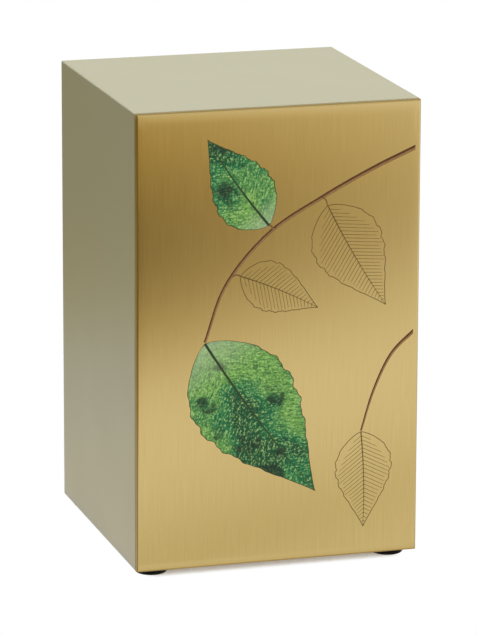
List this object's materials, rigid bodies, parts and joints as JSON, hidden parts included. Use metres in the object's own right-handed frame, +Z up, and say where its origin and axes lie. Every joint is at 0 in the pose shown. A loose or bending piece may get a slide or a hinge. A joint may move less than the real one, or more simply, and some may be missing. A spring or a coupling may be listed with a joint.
{
  "type": "cremation urn",
  "caption": "Upright square box urn with a lacquered body, a brushed brass front plate printed with leaves, a screwed closing board below and low round feet.",
  "frame": {"origin": "on the surface that the urn stands on, under the middle of its outline", "axes": "+Z up; the front plate faces -Y; +X to the right of someone who looks at the front"},
  "size_m": [0.16, 0.16, 0.2582],
  "materials": {
    "lacquer": "satin",
    "brushed_brass": "satin",
    "black_board": "matte",
    "black_rubber": "matte",
    "zinc_steel": "satin"
  },
  "bodies": {
    "root": {"body": "lacquer", "front_plate": "brushed_brass", "base_board": "black_board", "foot_front_left": "black_rubber", "foot_front_right": "black_rubber", "foot_back_left": "black_rubber", "foot_back_right": "black_rubber", "base_screw_front": "zinc_steel", "base_screw_back": "zinc_steel", "base_screw_left": "zinc_steel", "base_screw_right": "zinc_steel"}
  },
  "joints": []
}
